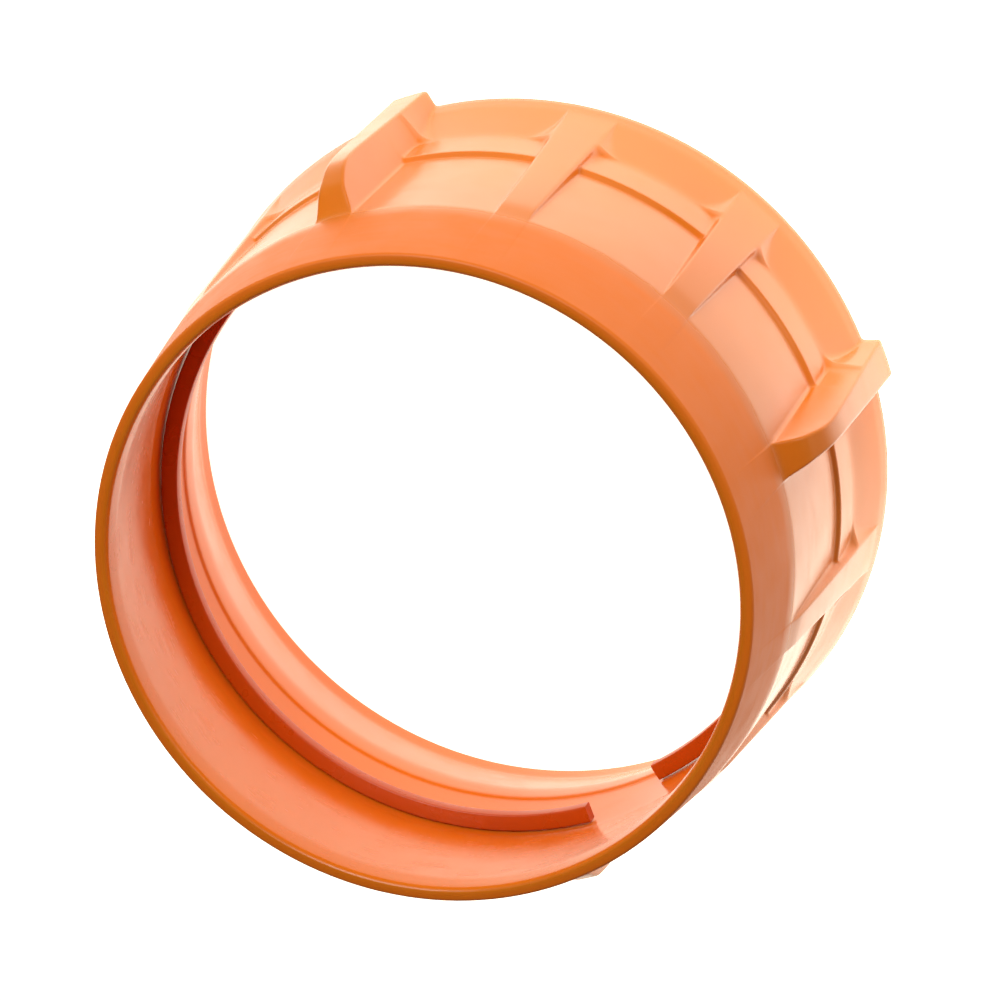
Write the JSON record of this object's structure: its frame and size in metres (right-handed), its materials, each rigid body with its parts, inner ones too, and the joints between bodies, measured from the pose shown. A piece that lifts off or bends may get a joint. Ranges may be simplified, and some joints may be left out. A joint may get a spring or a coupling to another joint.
{
  "type": "pipe coupling ring",
  "caption": "Round ribbed plastic pipe coupling ring with outward grip lugs, pocketed wall, rear flange and a split lock ring turning in a bore groove.",
  "frame": {"origin": "on the ring's axis, at the rear flange's face", "axes": "+Z along the bore axis towards the mouth, +X through one grip lug"},
  "size_m": [0.1476, 0.1476, 0.0794],
  "materials": {
    "coupling_ring": "glossy injection-moulded orange plastic",
    "lock_ring": "glossy deep orange plastic"
  },
  "bodies": {
    "ring": {"coupling_ring": "coupling_ring"},
    "lock": {"lock_ring": "lock_ring"}
  },
  "joints": [
    {"name": "lock_ring_turn", "type": "hinge", "parent": "ring", "child": "lock", "pos_m": [0, 0, 0.0365], "axis": [0, 0, 1], "continuous": true}
  ]
}
